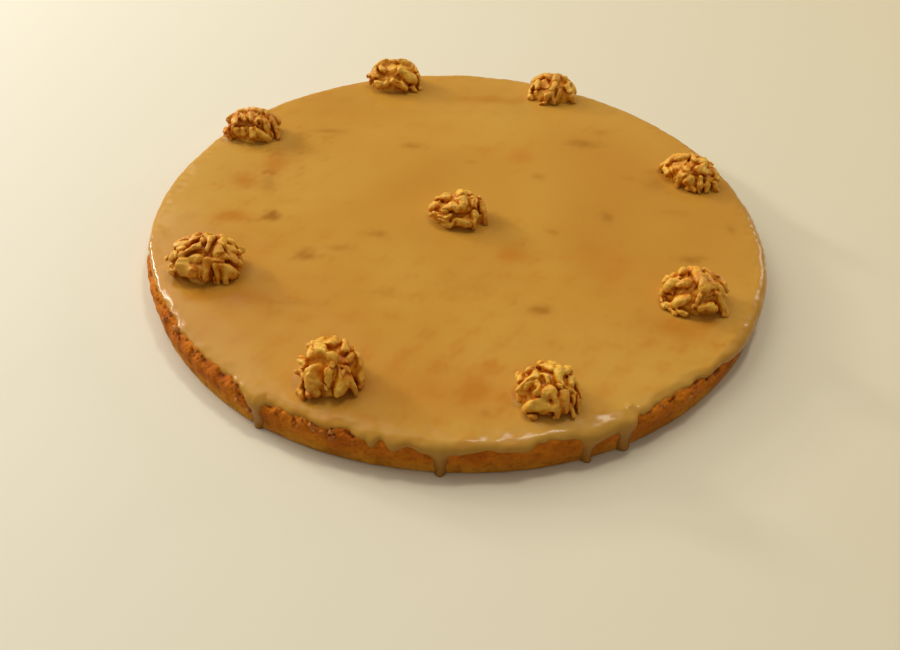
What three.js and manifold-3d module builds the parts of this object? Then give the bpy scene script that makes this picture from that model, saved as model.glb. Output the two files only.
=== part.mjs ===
// Walnut almond cake: a low round sponge under a poured coffee icing that runs
// down its side in a few places, with nine walnut halves set on the icing.
// Millimetres, +Z up. The origin is the middle of the bottom face, on the
// surface that the cake stands on, and angles are measured from +X.

import * as THREE from 'three';
import Module from 'manifold-3d';

const solids = await Module();
solids.setup();

// ---------------------------------------------------------------------------
// Driving dimensions
// ---------------------------------------------------------------------------

const SPONGE_RADIUS = 137.7; // at the widest, just under the shoulder
const SPONGE_HEIGHT = 14.3;
const SHOULDER_RADIUS = 4.5; // rounding from the top into the side
const SIDE_LEAN = 6; // degrees that the side leans in towards the bottom
const GAP = 0.3; // between two pieces that touch
const ICING_THICKNESS = 1.4;
const ICING_RUNOFF = 0.65; // share of that thickness lost down the side
const BEAD_LENGTH = 2.4; // the rounding that ends the icing
const DRIP_THICKNESS = 1.2;
const DRIP_ROOT = 3; // how far a drip starts inside the icing's edge
const DRIP_FOOT = 1.2; // how much wider a drip is where it leaves the edge
const DRIP_FOOT_LENGTH = 1.3;
const DRIP_BULB = 0.35; // how much thicker a drip is just above its tip

const SPONGE_COLUMNS = 120;
const CRUMB_DEPTH = 0.55; // deepest pit in the side of the sponge
const RIM_START = -8; // where the icing starts to be drawn row by row
const ICING_STEP = 4; // most degrees between two columns of the icing
const DRIP_STEP = 1.7;
const NUT_COLUMNS = 46; // round the foot of a walnut half, fewer higher up
const NUT_ELEVATIONS = [0, 8, 16, 25, 34, 43, 52, 61, 70, 80]; // degrees

const ICING_TOP = SPONGE_HEIGHT + GAP + ICING_THICKNESS;
const NUT_BASE = ICING_TOP + GAP;

// The cake is not quite round: [ripples round the edge, depth, phase].
const ROUNDNESS = [[1, 0.9, 0], [3, 0.4, 1], [7, 0.2, 2]];

// Reach of the icing past the start of the shoulder, in mm along the sponge's
// surface, at an angle in degrees. Below 0 it stops on the flat top.
const EDGE = [
  [-180, 4.6], [-170, 4.2], [-158, 2.3], [-154, 1.6], [-144.5, 1.6],
  [-139.5, 0.8], [-137, 1.3], [-134.5, 0.6], [-131, 1.1], [-128.5, 0.1],
  [-126.5, 1.6], [-123.5, 1.7], [-119, 2.4], [-114.5, 2.7], [-112.5, 2.2],
  [-109.5, 3.4], [-105.6, 1.5], [-102.6, 3.1], [-100, 3.3], [-95.8, 3.9],
  [-93, 5.8], [-88, 6], [-83.8, 3.7], [-81, 5.3], [-77.8, 6], [-75.6, 2.8],
  [-73.6, 2.3], [-70.6, 3.4], [-65, 6], [-58.8, 3], [-56.5, 2.4], [-53, 1.9],
  [-42.5, 3.7], [-39, 3.8], [-35.5, 6], [-31, 9], [-24, 8.4], [-15, 9],
  [-4, 7.4], [8, 8.2], [19, 6.8], [33, 8.6], [47, 6.2], [60, 7.8], [76, 6],
  [90, 7.4], [104, 5.4], [118, 7.2], [131, 5.2], [145, 6.4], [158, 4.2],
  [170, 5],
];

// Drips that run down from that edge: angle in degrees, width and reach in mm.
const DRIPS = [
  { at: -121.2, width: 4.2, reach: 15.6 },
  { at: -101.2, width: 1.8, reach: 6.4 },
  { at: -98.1, width: 1.8, reach: 6.6 },
  { at: -90.9, width: 4.8, reach: 15.6 },
  { at: -67.7, width: 4.8, reach: 15.6 },
  { at: -61.2, width: 6, reach: 15.6 },
  { at: 14, width: 4.4, reach: 13.4 },
  { at: 78, width: 5.2, reach: 15.6 },
  { at: 148, width: 4.8, reach: 15.6 },
];

// The walnut halves. x and y place the middle of the base, and turn is the angle
// of the long side. A lobe runs from one place to another, both measured from
// that middle along X and Y, and has a radius and a lift above the smooth dome.
// seed picks its small bends.
const WALNUTS = [
  {
    name: 'walnut_back_left', x: -36, y: 122, turn: 4,
    length: 30, width: 22, height: 13.5, seed: 213,
    lobes: [
      [-10.4, -0.6, -5, 3, 2.8, 0.5], [2.4, 4, 7.6, 5, 2.6, 0.8], [8.6, 4.4, 12.4, -0.6, 2.2, 0.6],
      [12.6, -1, 14, -5, 1.7, 0], [4, -3.6, 9.6, -5, 2.8, 0.1], [-0.4, -9, 6.4, -9.2, 1.9, 0.4],
      [-9.4, -7.6, -3.8, -9.4, 1.9, 0.4], [-13.2, -1.4, -11, -4.6, 1.6, 0.2],
      [-9.6, -3.4, -8.4, -6, 1.5, 0.1], [-6.6, -2, -4.6, -5, 1.7, 0.2],
      [9.8, -7.4, 11.6, -8, 1.5, -0.2], [-6, 6, -3, 6, 1.8, 0.1],
    ],
  },
  {
    name: 'walnut_back_right', x: 49.5, y: 116, turn: -14,
    length: 27, width: 21, height: 12, seed: 427,
    lobes: [
      [-5, 5, -9.4, 2.4, 1.8, 0.4], [-9.4, 2.4, -12, -1.6, 1.7, 0.2], [-12, -2, -11, -5, 1.5, 0.1],
      [-8.4, -0.6, -7.8, -4.6, 1.7, 0.3], [1.6, 2, 0.2, -6, 2.2, 0.5],
      [0.2, -6, -3.4, -8.8, 1.7, 0.4], [-3.4, -8.8, -6.2, -10.4, 1.4, 0.2],
      [-2.6, 4.4, -1.8, -0.6, 1.8, 0.4], [-0.6, -8.6, 1.2, -10.4, 1.4, 0.2],
      [2.8, -7.4, 3, -9.8, 1.6, 0.2], [7.6, -4, 10.8, -6.6, 2.7, 0.2], [4.6, 1.6, 7.8, -1, 2, 0.1],
      [8.8, 1.4, 12, -2.6, 1.6, 0],
    ],
  },
  {
    name: 'walnut_left_back', x: -104, y: 66, turn: 7,
    length: 31, width: 21.5, height: 12.5, seed: 439,
    lobes: [
      [4.6, -4, 8.6, -3.4, 1.5, 0.4], [8.6, -3.4, 11, -6.6, 1.6, 0.3],
      [4.4, -8, 9.6, -7.8, 1.8, 0.4], [-11.6, -1.6, -9, 1.4, 1.6, 0.2],
      [-10.6, -7, -9.8, -8.8, 1.5, 0.3], [-13, -4.4, -11.4, -6.4, 1.5, 0.1],
      [-6.4, -7.4, -5, -9.4, 1.5, 0.3], [-2.8, -8.6, -2.2, -9.8, 1.3, 0.2],
      [-4.2, -1.6, -1.6, -4.6, 1.7, 0.4], [0.4, -1, 1.4, -4.8, 1.6, 0.3],
      [3.6, -5.6, 3.8, -7.6, 1.1, 0.3], [-6.6, -0.6, -6, -5.6, 1.6, 0.2],
      [-5.6, 3.6, -0.6, 4.6, 1.9, 0.2], [1.6, 4, 6.6, 3.4, 1.9, 0.3],
      [7.6, 1.6, 12, -1.4, 1.8, 0.3], [12.4, -2, 14, -5, 1.6, 0], [1.4, -8.4, 3.4, -9.2, 1.6, 0.2],
    ],
  },
  {
    name: 'walnut_right_back', x: 112.5, y: 39.5, turn: -24,
    length: 29, width: 21, height: 13, seed: 448,
    lobes: [
      [-12.4, 6.4, -8, 4.4, 2.5, 0.8], [-8, 4.4, -2, 2.4, 1.9, 0.4],
      [-3.4, -5.2, -2.2, -8.8, 3.1, 0.5], [-6.4, -6, -6.8, -8.6, 1.4, 0.3],
      [-7, -3.4, -5, -4.4, 1.4, -0.2], [1.8, -5.4, 5.6, -6.2, 1.8, 0.2],
      [3.4, 0.6, 4.4, -4, 1.9, 0.5], [-0.6, 3.4, 1, -0.6, 1.7, 0.3],
      [4.4, 4.2, 8.8, 1.6, 1.8, 0.2], [9.4, 0.4, 12, -4, 1.7, 0],
      [-2, -10.2, 0.6, -10.6, 1.4, 0.1], [2.8, -8.6, 3.4, -10.8, 1.7, 0.1],
      [6, -8.4, 7, -10.8, 1.6, 0], [9.4, -8, 11, -9.6, 1.7, -0.1], [-12, 2, -9.6, -2, 1.6, -0.8],
    ],
  },
  {
    name: 'walnut_centre', x: 1.5, y: 0.5, turn: 6,
    length: 27.5, width: 21, height: 12.5, seed: 153,
    lobes: [
      [-6.6, 5.6, -5.4, -0.5, 1.9, 0.4], [-12.8, 1.6, -10.2, -1.4, 1.7, 0.3],
      [0.6, 6, 0.8, -5, 3, 0.6], [4.6, 5.4, 7.4, 6.6, 1.9, 0.6], [-7, -6, -3.2, -4.8, 1.6, 0.4],
      [-3.2, -5, 0.5, -6.4, 1.7, 0.3], [-9, -7, -3.6, -8.2, 1.8, 0.5],
      [8, 2.6, 11, -1.6, 1.7, 0.4], [6, 1, 7, -3.2, 1.6, 0], [6.8, -5.6, 7, -8.6, 1.5, 0.3],
      [11, -2.6, 12.2, -4.6, 1.5, 0], [-1.6, -8.8, 4.6, -8.8, 2, -0.3],
      [-6, -9, -1, -9.6, 1.5, -0.6], [-12, -3.4, -10, -5.4, 1.5, -0.3],
      [-9.6, 3.4, -8.6, 0.4, 1.5, -0.2],
    ],
  },
  {
    name: 'walnut_left', x: -104, y: -42.5, turn: 8,
    length: 34, width: 25, height: 15, seed: 470,
    lobes: [
      [-8, -9, -1.5, -10.2, 3.3, 0.6], [-9, -8.4, -0.5, -8, 2, 0.5],
      [2.3, -8.2, 2.3, -11.6, 1.5, 0.3], [5.8, -8.4, 6.2, -11.4, 1.6, 0.2],
      [9, -8.2, 9.8, -10, 1.6, 0], [3.5, -8, 12.8, -7.2, 2, 0.3],
      [-13, -6.5, -11, -8.5, 1.6, -0.8], [-10, -5.6, -1.5, -3.6, 1.6, 0.4],
      [-13.5, -4, -8, -2.5, 1.4, -0.2], [-15, -1.5, -10.5, 3, 1.7, 0.2],
      [-10.5, 3, -4, 8.2, 1.7, 0.3], [-12.5, -1, -2.5, 1.5, 1.5, 0], [-4.5, 4, -3, 9, 1.7, 0.3],
      [0, -1, 1, 7.5, 1.7, 0.5], [2.6, -4.8, 3.4, 3.5, 1.5, 0.5], [6.3, -5, 7, 3, 1.8, 0.2],
      [8.8, -4.6, 14, -3.5, 1.9, 0], [9.5, -1, 13.5, 1.5, 1.9, 0], [5, 5.5, 9.5, 5, 2, 0.1],
      [3.5, 9, 8, 8.5, 1.6, -0.3],
    ],
  },
  {
    name: 'walnut_right', x: 100.7, y: -51, turn: -12,
    length: 29, width: 24, height: 13.5, seed: 374,
    lobes: [
      [-12, 3.5, -9, 5.5, 1.9, 0.3], [-13.6, -1, -8.6, 0.6, 1.8, 0.5],
      [-7.4, -2.4, -4.4, -3, 2.2, 0.6], [-13.2, -5.6, -10, -7.8, 1.8, 0.3],
      [-10, -7.8, -4.4, -8, 1.9, 0.4], [-13.6, -2.6, -13.2, -5, 1.2, 0],
      [-6.2, 3.6, -5, 8.6, 1.9, 0.4], [-0.6, 8.6, 0.4, -1, 2.3, 0.6], [0.4, -1, 1.2, -6, 2, 0.4],
      [3.6, 6.4, 8, 4.2, 1.8, 0.3], [8.6, 4.6, 12.6, 0.4, 2, 0.3], [6.6, -6.6, 11.6, -9, 1.9, 0.2],
      [-2.4, -10.6, -0.2, -8.4, 1.1, 0.1], [0.6, -10.6, 6, -10, 1.9, -0.2],
      [10, -10, 11, -10.5, 1.1, -0.3], [-9, -10, -5, -10.8, 1.4, -0.6],
      [3, -3.5, 8, -4.5, 1.6, -0.7], [2.4, 2, 5.2, -1, 1.4, -0.3],
    ],
  },
  {
    name: 'walnut_front_left', x: -44.5, y: -104.5, turn: 68,
    length: 27.5, width: 26, height: 15.5, seed: 184,
    lobes: [
      [-4.5, -7.6, -4.8, -12, 3.1, 0.3], [6, -7.6, 3.8, -12, 2.6, 0.2],
      [2.4, -5, 0.2, -9, 1.6, 0.3], [0.2, -9, 0, -12, 1.2, -0.2],
      [-10.8, -8.6, -7.2, -7.2, 1.4, 0.2], [-11, -9.5, -8.8, -11.6, 1.5, -0.6],
      [-3.2, 8, -3, -1.5, 2.6, 0.5], [-1.5, -3.6, 4, -3.4, 1.9, 0.3], [4.6, 8.5, 5.4, 1, 1.8, 0.3],
      [8.2, 5, 10.8, -1.5, 1.9, 0], [10.8, -1.5, 12, -6, 1.8, -0.2],
      [7.5, -6.6, 9.8, -9.4, 1.4, -0.2], [5.4, -5.6, 7.8, -6.4, 1.3, -0.3],
      [-7.6, 4, -6.4, -2.5, 1.7, 0.2], [-10.4, 0.5, -8.8, -4, 1.5, 0],
      [-11.6, -4.2, -10.2, -6.4, 1.2, 0], [0.4, 9.5, 0.8, 2.5, 1.6, -0.2],
      [8, 0, 7.6, -3, 1.2, -0.6],
    ],
  },
  {
    name: 'walnut_front_right', x: 37, y: -110.5, turn: 80,
    length: 24, width: 26, height: 13.5, seed: 299,
    lobes: [
      [-10.6, 1.6, -10.2, 4, 2.3, 0.6], [-7.4, 3.5, -6.6, 7, 1.5, 0.3],
      [-3.6, 4.5, -3, 9, 1.6, 0.4], [-0.2, 1, 0.2, 6.5, 1.6, 0.4], [2.6, 3.5, 3.8, -4, 1.9, 0.5],
      [6.4, 6.5, 6, 2, 1.8, 0.4], [8, 2.5, 7.4, -3.2, 1.7, 0.2], [9.8, -1, 10.8, -4.2, 1.5, 0],
      [-5.4, -3.6, -4.6, -5.2, 1.1, -0.2], [-2.6, -0.6, -1, -4, 1.3, -0.3],
      [-4.6, 1.5, -5, -1.5, 1.2, -0.6], [-3.8, -7.2, 0.6, -6.6, 2.3, 0.6],
      [-8, -8.6, -3.4, -9.2, 2.5, 0.2], [-3, -10.5, 0.2, -10.4, 2.4, -0.2],
      [1.4, -8.8, 2.2, -11.8, 1.3, 0], [-6, -11.2, -4.6, -12, 1.3, -0.6],
      [4.4, -6.6, 4.9, -10.4, 1.8, 0], [7.4, -7.4, 9.2, -9.4, 1.6, -0.1],
      [10.4, -5.8, 11, -7.6, 1.3, 0], [4, -4.6, 8.4, -5.6, 1.2, -0.5],
    ],
  },
];

// ---------------------------------------------------------------------------
// Small helpers
// ---------------------------------------------------------------------------

const TURN = 2 * Math.PI;
const rad = THREE.MathUtils.degToRad;
const clamp = THREE.MathUtils.clamp;
const lerp = THREE.MathUtils.lerp;

// A repeatable sequence of numbers from 0 to 1.
class Draw {
  constructor(seed) {
    this.state = (seed * 2654435761) % 4294967296;
  }

  next() {
    this.state = (this.state * 1664525 + 1013904223) % 4294967296;
    return this.state / 4294967296;
  }

  between(low, high) {
    return low + (high - low) * this.next();
  }

  spread(size) {
    return (2 * this.next() - 1) * size;
  }
}

// Plane waves of about one length in random directions, which add up to an
// even but irregular field of bumps and hollows.
function waves({ seed, count, length }) {
  const draw = new Draw(seed);
  const list = [];
  for (let i = 0; i < count; i++) {
    const rise = draw.spread(0.8);
    const heading = draw.next() * TURN;
    const flat = Math.sqrt(1 - rise * rise);
    const k = TURN / (length * (1 + draw.spread(0.25)));
    const phase = draw.next() * TURN;
    list.push([k * flat * Math.cos(heading), k * flat * Math.sin(heading), k * rise, phase]);
  }
  return list;
}

function waveSum(list, x, y, z) {
  let sum = 0;
  for (const [kx, ky, kz, phase] of list) {
    sum += Math.sin(kx * x + ky * y + kz * z + phase);
  }
  return sum / Math.sqrt(0.5 * list.length);
}

// The faces between two rings of points, given by the number of the first
// point in each and how many points each has.
function band(first, count, nextFirst, nextCount) {
  const faces = [];
  let i = 0;
  let j = 0;
  while (i < count || j < nextCount) {
    const here = first + (i % count);
    const there = nextFirst + (j % nextCount);
    if (j === nextCount || (i < count && (i + 1) * nextCount <= (j + 1) * count)) {
      i += 1;
      faces.push([here, there, first + (i % count)]);
    } else {
      j += 1;
      faces.push([here, there, nextFirst + (j % nextCount)]);
    }
  }
  return faces;
}

// A closed body from rings of points, with a single point before the first
// ring and another after the last.
function ringBody(start, rings, end) {
  const points = [start, ...rings.flat(), end];
  const last = points.length - 1;
  const faces = [];
  let first = 1;
  rings.forEach((ring, k) => {
    const count = ring.length;
    const next = first + count;
    if (k === 0) {
      ring.forEach((_, j) => faces.push([0, first + j, first + ((j + 1) % count)]));
    }
    if (k + 1 < rings.length) {
      faces.push(...band(first, count, next, rings[k + 1].length));
    } else {
      ring.forEach((_, j) => faces.push([last, first + ((j + 1) % count), first + j]));
    }
    first = next;
  });
  let volume = 0;
  for (const [a, b, c] of faces) {
    const cross = new THREE.Vector3().crossVectors(points[b], points[c]);
    volume += points[a].dot(cross);
  }
  const outward = volume > 0 ? faces : faces.map(([a, b, c]) => [a, c, b]);
  return { positions: points.flatMap((p) => [p.x, p.y, p.z]), index: outward.flat() };
}

// One body from several that overlap.
function united(bodies) {
  const parts = bodies.map(({ positions, index }) => new solids.Manifold(new solids.Mesh({
    numProp: 3,
    vertProperties: Float32Array.from(positions),
    triVerts: Uint32Array.from(index),
  })));
  const mesh = parts.reduce((sum, part) => sum.add(part)).getMesh();
  return { positions: [...mesh.vertProperties], index: [...mesh.triVerts] };
}

function geometryOf({ positions, index }) {
  const geometry = new THREE.BufferGeometry();
  geometry.setAttribute('position', new THREE.Float32BufferAttribute(positions, 3));
  geometry.setIndex(index);
  geometry.computeVertexNormals();
  return geometry;
}

function named(name, body, color, roughness) {
  const material = new THREE.MeshStandardMaterial({ color, roughness, metalness: 0 });
  const mesh = new THREE.Mesh(geometryOf(body), material);
  mesh.name = name;
  return mesh;
}

// ---------------------------------------------------------------------------
// Sponge
// ---------------------------------------------------------------------------

// How far the outline stands out or in at an angle.
function roundness(angle) {
  return ROUNDNESS.reduce((sum, [n, depth, phase]) => sum + depth * Math.cos(n * angle + phase), 0);
}

const SHOULDER_TURN = Math.PI / 2 + rad(SIDE_LEAN);
const SHOULDER_LENGTH = SHOULDER_RADIUS * SHOULDER_TURN;
const SIDE_TOP = SPONGE_HEIGHT - SHOULDER_RADIUS + SHOULDER_RADIUS * Math.cos(SHOULDER_TURN);
const SIDE_LENGTH = SIDE_TOP / Math.cos(rad(SIDE_LEAN));
const REACH_TO_BOTTOM = SHOULDER_LENGTH + SIDE_LENGTH;

// The point that lies reach mm past the start of the shoulder, measured along
// the sponge's surface, and out mm clear of that surface.
function surfacePoint(angle, reach, out) {
  const centre = SPONGE_RADIUS + roundness(angle) - SHOULDER_RADIUS;
  const turn = clamp(reach / SHOULDER_RADIUS, 0, SHOULDER_TURN);
  const down = Math.max(0, reach - SHOULDER_LENGTH);
  const across = Math.min(0, reach);
  const r = centre + across + (SHOULDER_RADIUS + out) * Math.sin(turn) + down * Math.cos(turn);
  const z = SPONGE_HEIGHT - SHOULDER_RADIUS + (SHOULDER_RADIUS + out) * Math.cos(turn)
    - down * Math.sin(turn);
  return new THREE.Vector3(r * Math.cos(angle), r * Math.sin(angle), z);
}

// The crumb: shallow pits in the side, none on the top or the bottom edge.
const CRUMB = waves({ seed: 7, count: 9, length: 9 });

function crumb(angle, reach) {
  const at = surfacePoint(angle, reach, 0);
  const share = clamp(0.5 + 0.5 * waveSum(CRUMB, at.x, at.y, 2 * at.z), 0, 1);
  const shows = clamp((reach + 4) / 4, 0, 1) * clamp((REACH_TO_BOTTOM - reach) / 2, 0, 1);
  return -CRUMB_DEPTH * share * shows;
}

function sponge() {
  const onShoulder = [-6, -1, 1.4, 3.2, 5];
  const onSide = [0, 0.33, 0.7].map((share) => SHOULDER_LENGTH + share * SIDE_LENGTH);
  const reaches = [...onShoulder, ...onSide, REACH_TO_BOTTOM];
  const rings = reaches.map((reach) => {
    const ring = [];
    for (let j = 0; j < SPONGE_COLUMNS; j++) {
      const angle = (j / SPONGE_COLUMNS) * TURN;
      ring.push(surfacePoint(angle, reach, crumb(angle, reach)));
    }
    return ring;
  });
  const top = new THREE.Vector3(0, 0, SPONGE_HEIGHT);
  return ringBody(top, rings, new THREE.Vector3(0, 0, 0));
}

// ---------------------------------------------------------------------------
// Icing
// ---------------------------------------------------------------------------

const MM_PER_DEGREE = rad(SPONGE_RADIUS);

// Reach of the icing's edge at an angle in degrees, without the drips.
function edgeReach(degrees) {
  const turned = THREE.MathUtils.euclideanModulo(degrees + 180, 360) - 180;
  let i = EDGE.length - 1;
  while (i > 0 && EDGE[i][0] > turned) {
    i -= 1;
  }
  const [a0, r0] = EDGE[i];
  const [a1, r1] = i + 1 < EDGE.length ? EDGE[i + 1] : [EDGE[0][0] + 360, EDGE[0][1]];
  const share = (turned - a0) / (a1 - a0);
  return lerp(r0, r1, 0.5 - 0.5 * Math.cos(share * Math.PI));
}

// Angles of the icing's columns: those of the edge, with more between them.
function icingAngles() {
  const angles = [];
  EDGE.forEach(([degrees], i) => {
    const next = i + 1 < EDGE.length ? EDGE[i + 1][0] : EDGE[0][0] + 360;
    const parts = Math.ceil((next - degrees) / ICING_STEP);
    for (let k = 0; k < parts; k++) {
      angles.push(lerp(degrees, next, k / parts));
    }
  });
  return angles;
}

// Thickness of the icing at a reach, a given distance before its end. It thins
// towards the foot of the side and ends in a rounded bead.
function icingThickness(reach, before) {
  const runoff = ICING_RUNOFF * THREE.MathUtils.smoothstep(reach, 2, 8);
  const cut = clamp(before / BEAD_LENGTH, 0, 1);
  return ICING_THICKNESS * (1 - runoff) * Math.sqrt(1 - (1 - cut) ** 2);
}

// Reaches from the flat top to an end, closest together round the shoulder.
function ladder(end) {
  const bend = Math.min(lerp(RIM_START, end, 0.85), SHOULDER_LENGTH);
  const brow = Math.min(-0.5, lerp(RIM_START, bend, 0.5));
  return [RIM_START, ...[0, 0.25, 0.5, 0.75, 1].map((share) => lerp(brow, bend, share)), end];
}

function sheet() {
  const columns = icingAngles().map((degrees) => ({ angle: rad(degrees), end: edgeReach(degrees) }));
  const rungs = ladder(0).length;
  const inside = 0.5 * SPONGE_RADIUS;
  const beadRows = [0.4, 0.05]; // shares of the bead that are left to its end
  const rings = [columns.map(({ angle }) => new THREE.Vector3(
    inside * Math.cos(angle),
    inside * Math.sin(angle),
    ICING_TOP,
  ))];
  const outer = ({ angle, end }, reach) => (
    surfacePoint(angle, reach, GAP + icingThickness(reach, end - reach)));
  for (let k = 0; k < rungs; k++) {
    rings.push(columns.map((column) => outer(column, ladder(column.end - BEAD_LENGTH)[k])));
  }
  for (const share of beadRows) {
    rings.push(columns.map((column) => outer(column, column.end - share * BEAD_LENGTH)));
  }
  for (let k = rungs - 1; k >= 0; k--) {
    rings.push(columns.map(({ angle, end }) => surfacePoint(angle, ladder(end)[k], GAP)));
  }
  const top = new THREE.Vector3(0, 0, ICING_TOP);
  return ringBody(top, rings, new THREE.Vector3(0, 0, SPONGE_HEIGHT + GAP));
}

// A drip: a flat-backed tongue over the shoulder and down the side, wider
// where it leaves the sheet and thickest just above its round tip.
function tongue({ at, width, reach }) {
  const base = GAP + 0.15;
  const edge = edgeReach(at);
  const start = edge - DRIP_ROOT;
  const shape = (place) => {
    const toTip = reach - place;
    const round = Math.sqrt(clamp(1 - (1 - toTip / (width / 2)) ** 2, 0, 1));
    const tip = toTip < width / 2 ? round : 1;
    const foot = DRIP_FOOT * Math.exp(-Math.max(0, place - edge) / DRIP_FOOT_LENGTH);
    const bulb = DRIP_BULB * Math.exp(-(((toTip - width / 2) / width) ** 2));
    return { half: 0.5 * width * tip * (1 + foot), thick: DRIP_THICKNESS * tip * (0.8 + bulb) };
  };
  const section = (place) => {
    const { half, thick } = shape(place);
    return [-1, -0.75, 0, 0.75, 1].map((share) => {
      const angle = rad(at + (share * half) / MM_PER_DEGREE);
      return surfacePoint(angle, place, base + thick * Math.sqrt(1 - share ** 2));
    });
  };
  const stop = reach - width / 2;
  const rungs = Math.ceil((stop - start) / DRIP_STEP);
  const places = Array.from({ length: rungs + 1 }, (_, k) => lerp(start, stop, k / rungs));
  places.push(reach - 0.2 * width, reach - 0.03 * width);
  const middle = (place) => surfacePoint(rad(at), place, base + 0.3 * shape(place).thick);
  return ringBody(middle(start), places.map(section), middle(reach - 0.02 * width));
}

function icing() {
  return united([sheet(), ...DRIPS.map(tongue)]);
}

// ---------------------------------------------------------------------------
// Walnut halves
// ---------------------------------------------------------------------------

const LOBE_STEP = 1.2; // mm between the balls of a lobe
const RIM_LOBES = 14; // places round the rim where a lobe may be added
const RIM_LOBE_GAP = 3; // mm from such a place to the nearest lobe

// Height of the smooth dome that a half would be without its lobes.
function domeHeight(nut, x, y) {
  const share = 1 - (x / (nut.length / 2)) ** 2 - (y / (nut.width / 2)) ** 2;
  return nut.height * Math.sqrt(Math.max(0, share));
}

// The lobes of a half, each a chain of balls { x, y, z, r } that swell into
// one another, in the half's own directions.
function lobes(nut) {
  const draw = new Draw(nut.seed);
  const cos = Math.cos(rad(nut.turn));
  const sin = Math.sin(rad(nut.turn));
  const ball = (x, y, r, lift) => {
    const z = Math.max(domeHeight(nut, x, y) - r + lift, 0.5 * r);
    return { x, y, z, r };
  };

  const chains = nut.lobes.map(([x0, y0, x1, y1, radius, lift]) => {
    const length = Math.hypot(x1 - x0, y1 - y0);
    const steps = Math.max(2, Math.round(length / LOBE_STEP));
    const bow = draw.spread(0.5) / length;
    const knots = draw.next() * TURN;
    return Array.from({ length: steps + 1 }, (_, i) => {
      const t = i / steps;
      const bulge = Math.sin(Math.PI * t);
      const x = lerp(x0, x1, t) - (y1 - y0) * bow * bulge;
      const y = lerp(y0, y1, t) + (x1 - x0) * bow * bulge;
      const r = radius * (0.84 + 0.26 * bulge) * (1 + 0.08 * Math.sin(knots + 6 * t));
      return ball(x * cos + y * sin, y * cos - x * sin, r, lift);
    });
  });

  // More lobes run down to the rim wherever none of those above lies near.
  for (let k = 0; k < RIM_LOBES; k++) {
    const heading = (TURN * (k + draw.between(0.2, 0.8))) / RIM_LOBES;
    const rimX = (nut.length / 2) * Math.cos(heading);
    const rimY = (nut.width / 2) * Math.sin(heading);
    const r = draw.between(1.5, 2.1);
    const pull = 1 - r / Math.hypot(rimX, rimY);
    const [footX, footY] = [rimX * pull, rimY * pull];
    const gap = Math.min(...chains.flat().map((at) => Math.hypot(at.x - footX, at.y - footY)));
    if (gap > RIM_LOBE_GAP) {
      const start = draw.between(0.5, 0.7);
      chains.push([0, 0.25, 0.5, 0.75, 1].map((t) => {
        const share = lerp(start, 1, t);
        return ball(footX * share, footY * share, r, 0.2);
      }));
    }
  }
  return chains;
}

// Distance from a point to a chain of balls joined by cones.
function chainDistance(chain, x, y, z) {
  let best = Infinity;
  for (let i = 0; i + 1 < chain.length; i++) {
    const a = chain[i];
    const b = chain[i + 1];
    const dx = b.x - a.x;
    const dy = b.y - a.y;
    const dz = b.z - a.z;
    const dot = (x - a.x) * dx + (y - a.y) * dy + (z - a.z) * dz;
    const t = clamp(dot / (dx * dx + dy * dy + dz * dz), 0, 1);
    const off = Math.hypot(x - a.x - t * dx, y - a.y - t * dy, z - a.z - t * dz);
    best = Math.min(best, off - lerp(a.r, b.r, t));
  }
  return best;
}

// Signed distance to the surface of a half, below 0 inside it: its lobes melt
// into a core, bent by long waves and cut by crevices.
function walnutField(nut) {
  const melt = 0.36;
  const warp = 0.36;
  const creviceDepth = 0.7;
  const creviceWidth = 0.3;
  const chains = lobes(nut);
  const bends = [1, 2, 3].map((k) => waves({ seed: nut.seed * 10 + k, count: 5, length: 9 }));
  const crevices = waves({ seed: nut.seed * 10 + 4, count: 9, length: 10.5 });
  const core = [0.44 * nut.length, 0.44 * nut.width, 0.81 * nut.height];
  const coreSize = Math.min(...core);
  return (x, y, z) => {
    const px = x + warp * waveSum(bends[0], x, y, z);
    const py = y + warp * waveSum(bends[1], x, y, z);
    const pz = z + 0.6 * warp * waveSum(bends[2], x, y, z);
    const coreGap = (Math.hypot(px / core[0], py / core[1], pz / core[2]) - 1) * coreSize;
    let sum = Math.exp(-coreGap / melt);
    for (const chain of chains) {
      sum += Math.exp(-chainDistance(chain, px, py, pz) / melt);
    }
    const crevice = waveSum(crevices, px, py, pz) / creviceWidth;
    return -melt * Math.log(sum) + creviceDepth * Math.exp(-(crevice ** 2));
  };
}

// The half's surface seen from the middle of its flat base, in rings upward.
function walnut(nut) {
  const field = walnutField(nut);
  const outside = 0.65 * nut.length;
  const stride = 0.4;
  const surfaceAt = (heading, elevation) => {
    const dx = Math.cos(heading) * Math.cos(elevation);
    const dy = Math.sin(heading) * Math.cos(elevation);
    const dz = Math.sin(elevation);
    let far = outside;
    while (far > stride && field(dx * (far - stride), dy * (far - stride), dz * (far - stride)) > 0) {
      far -= stride;
    }
    let near = Math.max(far - stride, 0);
    for (let i = 0; i < 8; i++) {
      const middle = (near + far) / 2;
      if (field(dx * middle, dy * middle, dz * middle) > 0) {
        far = middle;
      } else {
        near = middle;
      }
    }
    return new THREE.Vector3(dx * far, dy * far, dz * far);
  };
  const rings = NUT_ELEVATIONS.map((elevation) => {
    const columns = Math.round(NUT_COLUMNS * Math.cos(rad(elevation)));
    const ring = [];
    for (let j = 0; j < columns; j++) {
      ring.push(surfaceAt((j / columns) * TURN, rad(elevation)));
    }
    return ring;
  });
  return ringBody(new THREE.Vector3(0, 0, 0), rings, surfaceAt(0, Math.PI / 2));
}

// ---------------------------------------------------------------------------
// Assembly
// ---------------------------------------------------------------------------

const cake = new THREE.Group();

cake.add(named('sponge', sponge(), 0x85501a, 0.85));
cake.add(named('icing', icing(), 0xbe8a38, 0.35));

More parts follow.
